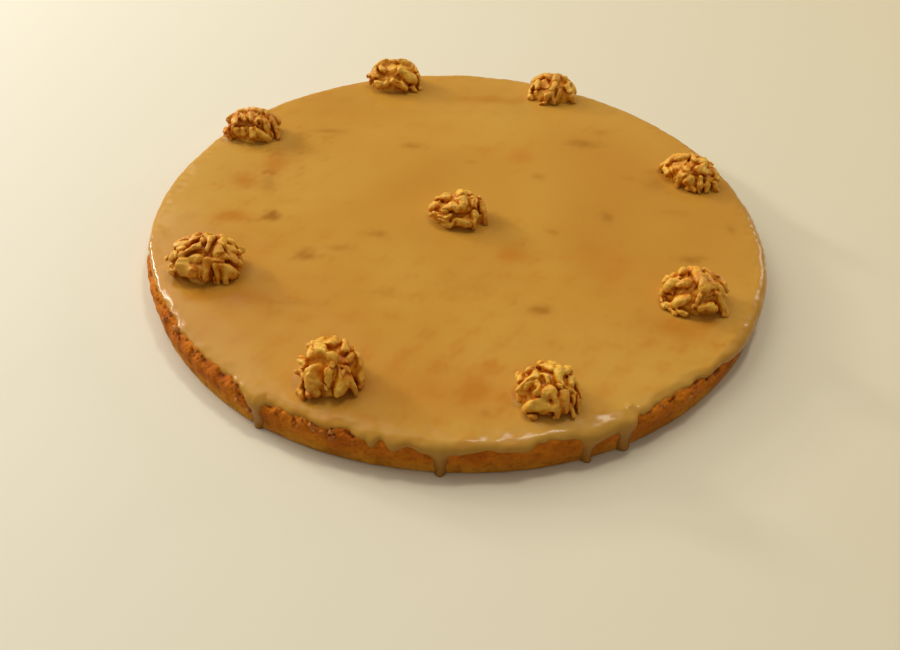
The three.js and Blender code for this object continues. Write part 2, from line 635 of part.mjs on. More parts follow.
for (const nut of WALNUTS) {
  const mesh = named(nut.name, walnut(nut), 0xb47a2c, 0.55);
  mesh.position.set(nut.x, nut.y, NUT_BASE);
  mesh.rotation.z = rad(nut.turn);
  cake.add(mesh);
}

export default cake;
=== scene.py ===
"""The looks of a walnut almond cake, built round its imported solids.

Sizes below are millimetres unless a name says otherwise, and every mesh is
turned into metres as it is made. Angles are degrees round the cake from +X.
"""

import math

import bpy
import numpy as np
import openvdb
from mathutils import Matrix, Vector


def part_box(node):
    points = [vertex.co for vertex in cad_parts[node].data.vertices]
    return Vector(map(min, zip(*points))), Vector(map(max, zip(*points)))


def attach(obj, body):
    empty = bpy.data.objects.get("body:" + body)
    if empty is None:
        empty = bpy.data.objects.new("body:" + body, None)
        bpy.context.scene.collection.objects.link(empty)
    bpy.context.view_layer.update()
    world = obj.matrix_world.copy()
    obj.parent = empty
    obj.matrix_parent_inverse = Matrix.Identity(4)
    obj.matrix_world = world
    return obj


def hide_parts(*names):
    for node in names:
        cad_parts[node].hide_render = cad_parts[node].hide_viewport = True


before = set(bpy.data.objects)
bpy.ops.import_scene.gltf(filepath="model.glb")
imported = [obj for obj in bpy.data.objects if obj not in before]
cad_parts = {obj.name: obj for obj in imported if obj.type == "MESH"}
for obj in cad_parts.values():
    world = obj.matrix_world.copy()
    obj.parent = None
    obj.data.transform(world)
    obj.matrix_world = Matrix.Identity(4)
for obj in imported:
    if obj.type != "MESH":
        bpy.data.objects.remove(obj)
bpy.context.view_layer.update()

MM = 0.001
TAU = 2 * math.pi

# ---------------------------------------------------------------------------
# Driving dimensions
# ---------------------------------------------------------------------------

SPONGE_RADIUS = 137.7
SPONGE_HEIGHT = 14.3
SHOULDER_RADIUS = 4.5
SIDE_LEAN = math.radians(6)
# The outline is not quite round: number of ripples, depth and phase.
ROUNDNESS = ((1, 0.9, 0), (3, 0.4, 1), (7, 0.2, 2))

# The icing stands clear of the sponge by a gap and its thickness. Its edge rounds
# off over the width of its bead, and past the edge its skin is sunk in the sponge.
GAP = 0.3
ICING_THICKNESS = 1.4
ICING_BEAD = 3.2
ICING_SUNK = 1.8
UNDERSIDE_DEPTH = 2.6
FLOOR_CLEARANCE = 0.1

# The edge and the drips run together over a short melt. A drip is wider at its
# root by a share that fades down it, wanders a little, thins on its way down and
# swells at its foot.
EDGE_RIPPLE = 0.2
EDGE_MELT = 0.5
ROOT_SHARE = 0.5
ROOT_LENGTH = 1.6
DRIP_WANDER = 0.35
DRIP_THINNING = 0.65
FOOT_SWELL = 1.5
FOOT_LENGTH = 3.5

# The icing's rim starts on the flat top, and sags a little towards the shoulder.
RIM_START = -8.0
RIM_SAG = 0.3

# How finely the meshes are cut.
SPONGE_COLUMNS = 1900
SPONGE_ROWS = 46
ICING_COLUMNS = 1760
EDGE_SEARCH = 18
TOP_SPACING = 1.5
WALNUT_VOXEL = 0.32

CRUMB_COUNT = 110
# How far a half goes on below its solid's base, into the icing.
WALNUT_SUNK = 0.9

SHOULDER_TURN = math.pi / 2 + SIDE_LEAN
SHOULDER_LENGTH = SHOULDER_RADIUS * SHOULDER_TURN
SIDE_TOP = SPONGE_HEIGHT - SHOULDER_RADIUS * (1 - math.cos(SHOULDER_TURN))
SIDE_LENGTH = SIDE_TOP / math.cos(SIDE_LEAN)
REACH_TO_BOTTOM = SHOULDER_LENGTH + SIDE_LENGTH
ICING_TOP = SPONGE_HEIGHT + GAP + ICING_THICKNESS

# The icing's edge: angle, and reach along the sponge past the shoulder's start.
EDGE = (
    (-180, 4.6), (-170, 4.2), (-163, 3), (-158, 2.3), (-154, 1.6), (-147, 1.3), (-144.5, 1.6),
    (-139.5, 0.8), (-137, 1.3), (-134.5, 0.6), (-131, 1.1), (-128.5, 0.1), (-126.5, 1.6),
    (-124.8, 3.2), (-122.8, 5.6), (-121.2, 7), (-119.8, 2.2), (-117.5, 1.8), (-114.5, 2.7),
    (-112.5, 2.2), (-109.5, 3.4), (-105.6, 1.5), (-102.6, 3.7), (-101.3, 6.4), (-100, 2.7),
    (-98.1, 6.6), (-95.8, 3.9), (-93, 5.8), (-88, 6), (-83.8, 3.7), (-81, 5.3), (-77.8, 6),
    (-75.6, 2.8), (-73.6, 2.3), (-70.6, 3.4), (-66.4, 9), (-64.4, 7), (-62.4, 5.6), (-59.8, 6.8),
    (-58.2, 2.6), (-56.5, 2.2), (-53, 1.9), (-45, 1.9), (-42.5, 3.7), (-39, 3.8), (-35.5, 6),
    (-31, 9), (-24, 8.4), (-15, 9), (-4, 7.4), (8, 8.2), (19, 6.8), (33, 8.6), (47, 6.2),
    (60, 7.8), (76, 6), (90, 7.4), (104, 5.4), (118, 7.2), (131, 5.2), (145, 6.4), (158, 4.2),
    (170, 5),
)

# Drips: angle, width and reach. A reach of 19 runs all the way down the side.
DRIPS = (
    (-121.4, 5, 19), (-90.9, 4.8, 19), (-67.7, 4.8, 19), (-61.2, 6, 19),
    (14, 4.4, 13.4), (78, 5.2, 19), (148, 4.8, 19),
)

# Where the shoulder of the sponge is torn: from one angle to another.
TORN = ((-158, -101), (-60, -36), (40, 75), (120, 150))

# Walnut halves: place and turn on the cake, and size. A lobe runs from one place
# to another, both measured from the half's middle along the cake's X and Y, and
# has a radius and a lift above the smooth dome. The seed picks its small bends.
WALNUTS = (
    dict(
        name="walnut_back_left", x=-36, y=122, turn=4, length=30, width=22, height=13.5, seed=213,
        lobes=(
            (-10.4, -0.6, -5, 3, 2.8, 0.5), (2.4, 4, 7.6, 5, 2.6, 0.8), (8.6, 4.4, 12.4, -0.6, 2.2, 0.6),
            (12.6, -1, 14, -5, 1.7, 0), (4, -3.6, 9.6, -5, 2.8, 0.1), (-0.4, -9, 6.4, -9.2, 1.9, 0.4),
            (-9.4, -7.6, -3.8, -9.4, 1.9, 0.4), (-13.2, -1.4, -11, -4.6, 1.6, 0.2),
            (-9.6, -3.4, -8.4, -6, 1.5, 0.1), (-6.6, -2, -4.6, -5, 1.7, 0.2),
            (9.8, -7.4, 11.6, -8, 1.5, -0.2), (-6, 6, -3, 6, 1.8, 0.1),
        ),
    ),
    dict(
        name="walnut_back_right", x=49.5, y=116, turn=-14, length=27, width=21, height=12, seed=427,
        lobes=(
            (-5, 5, -9.4, 2.4, 1.8, 0.4), (-9.4, 2.4, -12, -1.6, 1.7, 0.2), (-12, -2, -11, -5, 1.5, 0.1),
            (-8.4, -0.6, -7.8, -4.6, 1.7, 0.3), (1.6, 2, 0.2, -6, 2.2, 0.5),
            (0.2, -6, -3.4, -8.8, 1.7, 0.4), (-3.4, -8.8, -6.2, -10.4, 1.4, 0.2),
            (-2.6, 4.4, -1.8, -0.6, 1.8, 0.4), (-0.6, -8.6, 1.2, -10.4, 1.4, 0.2),
            (2.8, -7.4, 3, -9.8, 1.6, 0.2), (7.6, -4, 10.8, -6.6, 2.7, 0.2), (4.6, 1.6, 7.8, -1, 2, 0.1),
            (8.8, 1.4, 12, -2.6, 1.6, 0),
        ),
    ),
    dict(
        name="walnut_left_back", x=-104, y=66, turn=7, length=31, width=21.5, height=12.5, seed=439,
        lobes=(
            (4.6, -4, 8.6, -3.4, 1.5, 0.4), (8.6, -3.4, 11, -6.6, 1.6, 0.3),
            (4.4, -8, 9.6, -7.8, 1.8, 0.4), (-11.6, -1.6, -9, 1.4, 1.6, 0.2),
            (-10.6, -7, -9.8, -8.8, 1.5, 0.3), (-13, -4.4, -11.4, -6.4, 1.5, 0.1),
            (-6.4, -7.4, -5, -9.4, 1.5, 0.3), (-2.8, -8.6, -2.2, -9.8, 1.3, 0.2),
            (-4.2, -1.6, -1.6, -4.6, 1.7, 0.4), (0.4, -1, 1.4, -4.8, 1.6, 0.3),
            (3.6, -5.6, 3.8, -7.6, 1.1, 0.3), (-6.6, -0.6, -6, -5.6, 1.6, 0.2),
            (-5.6, 3.6, -0.6, 4.6, 1.9, 0.2), (1.6, 4, 6.6, 3.4, 1.9, 0.3),
            (7.6, 1.6, 12, -1.4, 1.8, 0.3), (12.4, -2, 14, -5, 1.6, 0), (1.4, -8.4, 3.4, -9.2, 1.6, 0.2),
        ),
    ),
    dict(
        name="walnut_right_back", x=112.5, y=39.5, turn=-24, length=28, width=20.5, height=12.3, seed=448,
        lobes=(
            (-12.4, 6.4, -8, 4.4, 2.5, 0.8), (-8, 4.4, -2, 2.4, 1.9, 0.4),
            (-3.4, -5.2, -2.2, -8.8, 3.1, 0.5), (-6.4, -6, -6.8, -8.6, 1.4, 0.3),
            (-7, -3.4, -5, -4.4, 1.4, -0.2), (1.8, -5.4, 5.6, -6.2, 1.8, 0.2),
            (3.4, 0.6, 4.4, -4, 1.9, 0.5), (-0.6, 3.4, 1, -0.6, 1.7, 0.3),
            (4.4, 4.2, 8.8, 1.6, 1.8, 0.2), (9.4, 0.4, 12, -4, 1.7, 0),
            (-2, -10.2, 0.6, -10.6, 1.4, 0.1), (2.8, -8.6, 3.4, -10.8, 1.7, 0.1),
            (6, -8.4, 7, -10.8, 1.6, 0), (9.4, -8, 11, -9.6, 1.7, -0.1), (-12, 2, -9.6, -2, 1.6, -0.8),
        ),
    ),
    dict(
        name="walnut_centre", x=1.5, y=0.5, turn=6, length=27.5, width=21, height=12.5, seed=153,
        lobes=(
            (-6.6, 5.6, -5.4, -0.5, 1.9, 0.4), (-12.8, 1.6, -10.2, -1.4, 1.7, 0.3),
            (0.6, 6, 0.8, -5, 3, 0.6), (4.6, 5.4, 7.4, 6.6, 1.9, 0.6), (-7, -6, -3.2, -4.8, 1.6, 0.4),
            (-3.2, -5, 0.5, -6.4, 1.7, 0.3), (-9, -7, -3.6, -8.2, 1.8, 0.5),
            (8, 2.6, 11, -1.6, 1.7, 0.4), (6, 1, 7, -3.2, 1.6, 0), (6.8, -5.6, 7, -8.6, 1.5, 0.3),
            (11, -2.6, 12.2, -4.6, 1.5, 0), (-1.6, -8.8, 4.6, -8.8, 2, -0.3),
            (-6, -9, -1, -9.6, 1.5, -0.6), (-12, -3.4, -10, -5.4, 1.5, -0.3),
            (-9.6, 3.4, -8.6, 0.4, 1.5, -0.2),
        ),
    ),
    dict(
        name="walnut_left", x=-104, y=-42.5, turn=8, length=34, width=25, height=15, seed=470,
        lobes=(
            (-8, -9, -1.5, -10.2, 3.3, 0.6), (-9, -8.4, -0.5, -8, 2, 0.5),
            (2.3, -8.2, 2.3, -11.6, 1.5, 0.3), (5.8, -8.4, 6.2, -11.4, 1.6, 0.2),
            (9, -8.2, 9.8, -10, 1.6, 0), (3.5, -8, 12.8, -7.2, 2, 0.3),
            (-13, -6.5, -11, -8.5, 1.6, -0.8), (-10, -5.6, -1.5, -3.6, 1.6, 0.4),
            (-13.5, -4, -8, -2.5, 1.4, -0.2), (-15, -1.5, -10.5, 3, 1.7, 0.2),
            (-10.5, 3, -4, 8.2, 1.7, 0.3), (-12.5, -1, -2.5, 1.5, 1.5, 0), (-4.5, 4, -3, 9, 1.7, 0.3),
            (0, -1, 1, 7.5, 1.7, 0.5), (2.6, -4.8, 3.4, 3.5, 1.5, 0.5), (6.3, -5, 7, 3, 1.8, 0.2),
            (8.8, -4.6, 14, -3.5, 1.9, 0), (9.5, -1, 13.5, 1.5, 1.9, 0), (5, 5.5, 9.5, 5, 2, 0.1),
            (3.5, 9, 8, 8.5, 1.6, -0.3),
        ),
    ),
    dict(
        name="walnut_right", x=100.7, y=-51, turn=-12, length=29, width=24, height=13.5, seed=374,
        lobes=(
            (-12, 3.5, -9, 5.5, 1.9, 0.3), (-13.6, -1, -8.6, 0.6, 1.8, 0.5),
            (-7.4, -2.4, -4.4, -3, 2.2, 0.6), (-13.2, -5.6, -10, -7.8, 1.8, 0.3),
            (-10, -7.8, -4.4, -8, 1.9, 0.4), (-13.6, -2.6, -13.2, -5, 1.2, 0),
            (-6.2, 3.6, -5, 8.6, 1.9, 0.4), (-0.6, 8.6, 0.4, -1, 2.3, 0.6), (0.4, -1, 1.2, -6, 2, 0.4),
            (3.6, 6.4, 8, 4.2, 1.8, 0.3), (8.6, 4.6, 12.6, 0.4, 2, 0.3), (6.6, -6.6, 11.6, -9, 1.9, 0.2),
            (-2.4, -10.6, -0.2, -8.4, 1.1, 0.1), (0.6, -10.6, 6, -10, 1.9, -0.2),
            (10, -10, 11, -10.5, 1.1, -0.3), (-9, -10, -5, -10.8, 1.4, -0.6),
            (3, -3.5, 8, -4.5, 1.6, -0.7), (2.4, 2, 5.2, -1, 1.4, -0.3),
        ),
    ),
    dict(
        name="walnut_front_left", x=-44.5, y=-104.5, turn=68, length=27.5, width=26, height=15.5, seed=184,
        lobes=(
            (-4.5, -7.6, -4.8, -12, 3.1, 0.3), (6, -7.6, 3.8, -12, 2.6, 0.2),
            (2.4, -5, 0.2, -9, 1.6, 0.3), (0.2, -9, 0, -12, 1.2, -0.2),
            (-10.8, -8.6, -7.2, -7.2, 1.4, 0.2), (-11, -9.5, -8.8, -11.6, 1.5, -0.6),
            (-3.2, 8, -3, -1.5, 2.6, 0.5), (-1.5, -3.6, 4, -3.4, 1.9, 0.3), (4.6, 8.5, 5.4, 1, 1.8, 0.3),
            (8.2, 5, 10.8, -1.5, 1.9, 0), (10.8, -1.5, 12, -6, 1.8, -0.2),
            (7.5, -6.6, 9.8, -9.4, 1.4, -0.2), (5.4, -5.6, 7.8, -6.4, 1.3, -0.3),
            (-7.6, 4, -6.4, -2.5, 1.7, 0.2), (-10.4, 0.5, -8.8, -4, 1.5, 0),
            (-11.6, -4.2, -10.2, -6.4, 1.2, 0), (0.4, 9.5, 0.8, 2.5, 1.6, -0.2),
            (8, 0, 7.6, -3, 1.2, -0.6),
        ),
    ),
    dict(
        name="walnut_front_right", x=37, y=-110.5, turn=80, length=24, width=26, height=13.5, seed=299,
        lobes=(
            (-10.6, 1.6, -10.2, 4, 2.3, 0.6), (-7.4, 3.5, -6.6, 7, 1.5, 0.3),
            (-3.6, 4.5, -3, 9, 1.6, 0.4), (-0.2, 1, 0.2, 6.5, 1.6, 0.4), (2.6, 3.5, 3.8, -4, 1.9, 0.5),
            (6.4, 6.5, 6, 2, 1.8, 0.4), (8, 2.5, 7.4, -3.2, 1.7, 0.2), (9.8, -1, 10.8, -4.2, 1.5, 0),
            (-5.4, -3.6, -4.6, -5.2, 1.1, -0.2), (-2.6, -0.6, -1, -4, 1.3, -0.3),
            (-4.6, 1.5, -5, -1.5, 1.2, -0.6), (-3.8, -7.2, 0.6, -6.6, 2.3, 0.6),
            (-8, -8.6, -3.4, -9.2, 2.5, 0.2), (-3, -10.5, 0.2, -10.4, 2.4, -0.2),
            (1.4, -8.8, 2.2, -11.8, 1.3, 0), (-6, -11.2, -4.6, -12, 1.3, -0.6),
            (4.4, -6.6, 4.9, -10.4, 1.8, 0), (7.4, -7.4, 9.2, -9.4, 1.6, -0.1),
            (10.4, -5.8, 11, -7.6, 1.3, 0), (4, -4.6, 8.4, -5.6, 1.2, -0.5),
        ),
    ),
)

# Marks in the icing: x, y, half length along X, half length along Y and depth
# of tone. The first table turns it browner and patches more orange; in it, the
# marks at 18.6, -2.5 and 96.5, 35.5 are painted shadows beside walnut halves,
# and those at -66, 71 and -80, 55 are partly brown stain and partly painted
# shadow of the half left of them. The largest marks of both kinds only tint
# whole stretches of it.
SPOTS_AND_SHADOWS = (
    (-82.4, -3.7, 3, 3.8, 1), (-62.9, -32.3, 4.4, 2.6, 0.8), (-50.8, -25.7, 5, 2, 0.5),
    (-33.2, -14.6, 3, 2.6, 0.7), (-23.2, 59.2, 4.2, 2.6, 0.65), (-66, 71, 9, 2.4, 0.6),
    (-80, 55, 9, 8, 0.4), (-89, 23, 4, 7, 0.45), (6.6, 47.5, 2.6, 1.6, 0.5), (39, 37, 3, 2, 0.5),
    (64, 68.8, 4.8, 4.2, 0.75), (72.7, 80, 4, 3, 0.4), (70, 5.8, 2.6, 3.4, 0.75),
    (125.5, -0.6, 2, 3.6, 0.6), (82.9, 38, 4, 2, 0.35), (44, -8, 2.6, 1.8, 0.5),
    (36, -61.2, 4.6, 2.6, 0.8), (103, -24, 4.4, 3, 0.8), (101.7, 11, 7, 2, 0.3),
    (6, -48.5, 14, 4, 0.2), (-30, -54, 7, 1.6, 0.25), (-62, -63, 11, 1.8, 0.25),
    (13, -118.9, 1.6, 1, 0.8), (18.6, -2.5, 6, 6, 0.45), (96.5, 35.5, 5, 7, 0.5),
    (5, 112, 60, 18, 0.2), (-104, 34, 30, 40, 0.15),
)
PATCHES = (
    (-101, 23.9, 7, 6, 0.9), (-87.5, 39.6, 8, 8, 0.9), (-100, -5.5, 7, 5, 0.9),
    (30.7, 54, 5, 8, 0.6), (12.4, 59.6, 6, 3, 0.5), (26.7, -25, 7, 7, 0.8), (14.5, 109, 14, 4, 0.7),
    (-87, -60.9, 15, 6, 0.6), (93.5, -70.3, 13, 8, 0.7), (68, -33, 9, 9, 0.4), (10.7, -108.5, 6, 8, 0.5),
    (64, -19.5, 9, 3, 0.5), (0, -112, 40, 16, 0.4), (70, -60, 50, 26, 0.2),
    (-70, -62, 46, 34, 0.3), (0, -104, 90, 28, 0.2),
)
# Where the icing's rim sags further: angle, half width in degrees and fall.
RIM_FALLS = ((-80.8, 4.4, 0.3), (-67, 2.8, 0.4), (-59.6, 1.4, 0.45))
# Small round rises in the icing: x, y and size.
PIMPLES = ((70, -74.7, 1.1), (67.5, -113.4, 1.3), (13, -119.9, 0.8), (-35, 88, 0.8))

# The camera, fitted to the rims of the cake in the photograph.
CAMERA_BACK = 371.5
CAMERA_UP = 283.9
CAMERA_YAW = math.radians(-0.08)
CAMERA_PITCH = math.radians(41.9)
CAMERA_ROLL = math.radians(2.225)
SENSOR_WIDTH = 36
LENS = 40

# Lights: name, place in metres, size in metres, power in watts and colour.
LIGHTS = (
    ("window", (-1.3, 0.95, 1.85), 2.3, 34.5, (1, 0.95, 0.83)),
    ("low window", (-1.05, 0.66, 0.45), 0.15, 5, (1, 0.96, 0.9)),
    ("second pane", (-1.11, 0.5, 0.62), 0.12, 2.5, (1, 0.96, 0.9)),
    ("ceiling", (0.25, 0.33, 1.28), 0.2, 4, (1, 0.94, 0.82)),
    ("far window", (0.9, 0.8, 0.45), 0.3, 1.5, (1, 0.96, 0.9)),
)
ROOM_LOW = (0.12, 0.11, 0.098, 1)
ROOM_HIGH = (0.38, 0.36, 0.32, 1)

# ---------------------------------------------------------------------------
# Helpers
# ---------------------------------------------------------------------------


class Draw:
    """A repeatable sequence of numbers from 0 to 1."""

    def __init__(self, seed):
        self.state = (seed * 2654435761) % 4294967296

    def next(self):
        self.state = (self.state * 1664525 + 1013904223) % 4294967296
        return self.state / 4294967296

    def between(self, low, high):
        return low + (high - low) * self.next()

    def spread(self, size):
        return (2 * self.next() - 1) * size


def waves(seed, count, length):
    """Plane waves of about one length in random directions."""
    draw = Draw(seed)
    out = []
    for _ in range(count):
        rise = draw.spread(0.8)
        heading = draw.next() * TAU
        flat = math.sqrt(1 - rise * rise)
        k = TAU / (length * (1 + draw.spread(0.25)))
        phase = draw.next() * TAU
        out.append((k * flat * math.cos(heading), k * flat * math.sin(heading), k * rise, phase))
    return out


def wave_sum(terms, x, y, z):
    """An even but irregular field of bumps and hollows, about -1 to 1."""
    total = 0
    for kx, ky, kz, phase in terms:
        total = total + np.sin(kx * x + ky * y + kz * z + phase)
    return total / math.sqrt(0.5 * len(terms))


def smooth_step(value, low, high):
    share = np.clip((value - low) / (high - low), 0, 1)
    return share * share * (3 - 2 * share)


def srgb(red, green, blue):
    """Linear colour of an sRGB triple from 0 to 255."""
    def linear(value):
        value /= 255
        return value / 12.92 if value <= 0.04045 else ((value + 0.055) / 1.055) ** 2.4
    return (linear(red), linear(green), linear(blue), 1)


def mesh_piece(name, points, faces, material, values=None):
    """A smooth mesh object from points in mm, with float attributes."""
    mesh = bpy.data.meshes.new(name)
    mesh.from_pydata((np.asarray(points) * MM).tolist(), [], faces)
    mesh.update()
    mesh.polygons.foreach_set("use_smooth", np.ones(len(mesh.polygons), bool))
    for label, data in (values or {}).items():
        attribute = mesh.attributes.new(label, "FLOAT", "POINT")
        attribute.data.foreach_set("value", np.asarray(data, np.float32))
    mesh.materials.append(material)
    piece = bpy.data.objects.new(name, mesh)
    bpy.context.scene.collection.objects.link(piece)
    return piece


def ring_faces(first, count, following, following_count):
    """Triangles between two rings of points with their own numbers of points."""
    faces = []
    i = j = 0
    while i < count or j < following_count:
        here = first + i % count
        there = following + j % following_count
        if j == following_count or (i < count and (i + 1) * following_count <= (j + 1) * count):
            i += 1
            faces.append((here, there, first + i % count))
        else:
            j += 1
            faces.append((here, there, following + j % following_count))
    return faces


def grid_faces(first, rows, columns):
    """Quads of a closed grid of rows, each a ring of the same columns."""
    row = np.arange(rows - 1)[:, None]
    column = np.arange(columns)[None, :]
    following = (column + 1) % columns
    quads = np.stack([
        row * columns + column,
        (row + 1) * columns + column,
        (row + 1) * columns + following,
        row * columns + following,
    ], axis=-1)
    return (quads.reshape(-1, 4) + first).tolist()


# ---------------------------------------------------------------------------
# Camera, light and floor
# ---------------------------------------------------------------------------


def add_camera():
    camera = bpy.data.objects.new("camera", bpy.data.cameras.new("camera"))
    bpy.context.scene.collection.objects.link(camera)
    turn = (
        Matrix.Rotation(-CAMERA_YAW, 4, "Z")
        @ Matrix.Rotation(math.pi / 2 - CAMERA_PITCH, 4, "X")
        @ Matrix.Rotation(CAMERA_ROLL, 4, "Z")
    )
    place = Matrix.Translation((0, -CAMERA_BACK * MM, CAMERA_UP * MM))
    camera.matrix_world = place @ turn
    camera.data.sensor_width = SENSOR_WIDTH
    camera.data.lens = LENS
    camera.data.clip_start = 10 * MM
    bpy.context.scene.camera = camera


def add_area_light(name, at, size, power, colour):
    """A square light at a place in metres, aimed at the cake."""
    light = bpy.data.lights.new(name, "AREA")
    light.energy = power
    light.size = size
    light.color = colour
    lamp = bpy.data.objects.new(name, light)
    lamp.location = at
    lamp.rotation_euler = (-Vector(at)).to_track_quat("-Z", "Y").to_euler()
    bpy.context.scene.collection.objects.link(lamp)


def add_world(low, high):
    """A room that is dim near the floor and bright above."""
    world = bpy.data.worlds.new("room")
    world.use_nodes = True
    nodes, links = world.node_tree.nodes, world.node_tree.links
    height = nodes.new("ShaderNodeSeparateXYZ")
    links.new(nodes.new("ShaderNodeTexCoord").outputs["Generated"], height.inputs["Vector"])
    sky = nodes.new("ShaderNodeValToRGB")
    for element, colour in zip(sky.color_ramp.elements, (low, high)):
        element.color = colour
    links.new(height.outputs["Z"], sky.inputs["Fac"])
    links.new(sky.outputs["Color"], nodes["Background"].inputs["Color"])
    bpy.context.scene.world = world


def add_floor(material):
    half = 3000
    corners = [(-half, -half, 0), (half, -half, 0), (half, half, 0), (-half, half, 0)]
    floor = mesh_piece("floor", corners, [(0, 1, 2, 3)], material)


# ---------------------------------------------------------------------------
# Materials
# ---------------------------------------------------------------------------


class Shader:
    """A Principled material with short ways to add and link nodes."""

    def __init__(self, name, roughness):
        self.material = bpy.data.materials.new(name)
        self.material.use_nodes = True
        self.tree = self.material.node_tree
        self.surface = self.tree.nodes["Principled BSDF"]
        self.surface.inputs["Roughness"].default_value = roughness

    def node(self, kind, **settings):
        made = self.tree.nodes.new(kind)
        for key, value in settings.items():
            setattr(made, key, value)
        return made

    def link(self, output, target):
        self.tree.links.new(output, target)

    def coordinates(self):
        return self.node("ShaderNodeTexCoord").outputs["Object"]

    def noise(self, scale, detail, roughness, distortion=0):
        """Noise with about scale bumps a metre."""
        made = self.node("ShaderNodeTexNoise")
        made.inputs["Scale"].default_value = scale
        made.inputs["Detail"].default_value = detail
        made.inputs["Roughness"].default_value = roughness
        made.inputs["Distortion"].default_value = distortion
        self.link(self.coordinates(), made.inputs["Vector"])
        return made.outputs["Fac"]

    def ramp(self, source, stops):
        made = self.node("ShaderNodeValToRGB")
        elements = made.color_ramp.elements
        while len(elements) < len(stops):
            elements.new(0.5)
        for element, (position, colour) in zip(elements, stops):
            element.position = position
            element.color = colour
        self.link(source, made.inputs["Fac"])
        return made.outputs["Color"]

    def mix(self, first, second, share, mode="MIX"):
        """Mixes two colours; each of first, second and share is a socket or a value."""
        made = self.node("ShaderNodeMix", data_type="RGBA", blend_type=mode)
        # A mix of colours has its share in socket 0 and the colours in 6 and 7.
        for number, value in ((0, share), (6, first), (7, second)):
            target = made.inputs[number]
            if isinstance(value, bpy.types.NodeSocket):
                self.link(value, target)
            else:
                target.default_value = value
        return made.outputs[2]

    def attribute(self, name):
        return self.node("ShaderNodeAttribute", attribute_name=name).outputs["Fac"]

    def bump(self, height, distance):
        """Relief in the shading, distance metres deep."""
        made = self.node("ShaderNodeBump")
        made.inputs["Distance"].default_value = distance
        self.link(height, made.inputs["Height"])
        self.link(made.outputs["Normal"], self.surface.inputs["Normal"])


def grey(level):
    return (level, level, level, 1)


def icing_material():
    """Slow drifts of tone, the marks, and a darker brown down the side, partly the crumb showing through
    the drips and partly painted shade.
    """
    shader = Shader("coffee icing", 0.2)
    shader.surface.inputs["Specular IOR Level"].default_value = 0.17
    drift = shader.ramp(shader.noise(7, 2, 0.5, 0.6), [
        (0.33, srgb(186, 130, 45)), (0.5, srgb(195, 143, 55)), (0.68, srgb(201, 153, 66)),
    ])
    patches = shader.mix(drift, srgb(186, 120, 36), shader.attribute("patch"))
    # Browner marks: stains, and painted shadows cast by the walnut halves.
    spots_and_shadows = shader.mix(patches, srgb(158, 104, 26), shader.attribute("spot_and_shadow"))
    # Darker down the side: partly the crumb through the drips, partly painted shade.
    coloured = shader.mix(spots_and_shadows, srgb(156, 100, 30), shader.attribute("film_and_shade"))
    shader.link(coloured, shader.surface.inputs["Base Color"])
    shader.surface.inputs["Subsurface Weight"].default_value = 0.12
    shader.surface.inputs["Subsurface Radius"].default_value = (0.004, 0.002, 0.0008)
    shader.surface.inputs["Subsurface Scale"].default_value = 1.0
    shader.bump(shader.noise(300, 2, 0.5), 0.00004)
    return shader.material


def sponge_material():
    """Baked crumb, lighter towards the bottom, with painted shade in its hollows."""
    shader = Shader("almond sponge", 0.75)
    shader.surface.inputs["Specular IOR Level"].default_value = 0.12
    depth = shader.ramp(shader.attribute("low"), [
        (0, srgb(212, 122, 20)), (0.5, srgb(216, 132, 24)), (1, srgb(222, 154, 44)),
    ])
    crumb = shader.ramp(shader.noise(520, 4, 0.65), [
        (0.32, grey(0.62)), (0.5, grey(0.95)), (0.7, grey(1)),
    ])
    toned = shader.mix(depth, crumb, 0.8, "MULTIPLY")
    drift = shader.ramp(shader.noise(60, 3, 0.55), [(0.38, srgb(214, 186, 150)), (0.6, grey(1))])
    baked = shader.mix(toned, drift, 0.8, "MULTIPLY")
    # Painted shade darkens the hollows, most in the torn crumb under the icing's edge.
    pit_shaded = shader.mix(baked, srgb(120, 50, 6), shader.attribute("pit_and_shade"))
    shader.link(pit_shaded, shader.surface.inputs["Base Color"])
    shader.bump(shader.noise(900, 4, 0.6), 0.0002)
    return shader.material


def crumb_material():
    shader = Shader("loose crumbs", 0.5)
    shader.surface.inputs["Specular IOR Level"].default_value = 0.25
    tone = shader.ramp(shader.noise(300, 2, 0.5), [
        (0.35, srgb(176, 96, 26)), (0.65, srgb(212, 138, 62)),
    ])
    shader.link(tone, shader.surface.inputs["Base Color"])
    return shader.material


def walnut_material():
    """Skin with painted shade, brown deep in the crevices and pale on top of the lobes, with fine veins.
    """
    shader = Shader("walnut", 0.4)
    shader.surface.inputs["Specular IOR Level"].default_value = 0.25
    # Painted shade: the deeper a point lies in a crevice, the browner its skin.
    crevice_shade = shader.ramp(shader.attribute("shade_openness"), [
        (0.05, srgb(194, 108, 12)), (0.45, srgb(212, 134, 18)),
        (0.75, srgb(226, 156, 30)), (0.95, srgb(240, 190, 74)),
    ])
    veins = shader.ramp(shader.noise(380, 4, 0.6, 0.8), [
        (0.4, grey(1)), (0.62, srgb(226, 190, 134)),
    ])
    toned = shader.mix(crevice_shade, veins, 0.5, "MULTIPLY")
    drift = shader.ramp(shader.noise(60, 2, 0.5), [
        (0.4, grey(1)), (0.64, srgb(232, 196, 140)),
    ])
    skin = shader.mix(toned, drift, 0.6, "MULTIPLY")
    shader.link(skin, shader.surface.inputs["Base Color"])
    shader.bump(shader.noise(1100, 4, 0.6), 0.0001)
    return shader.material


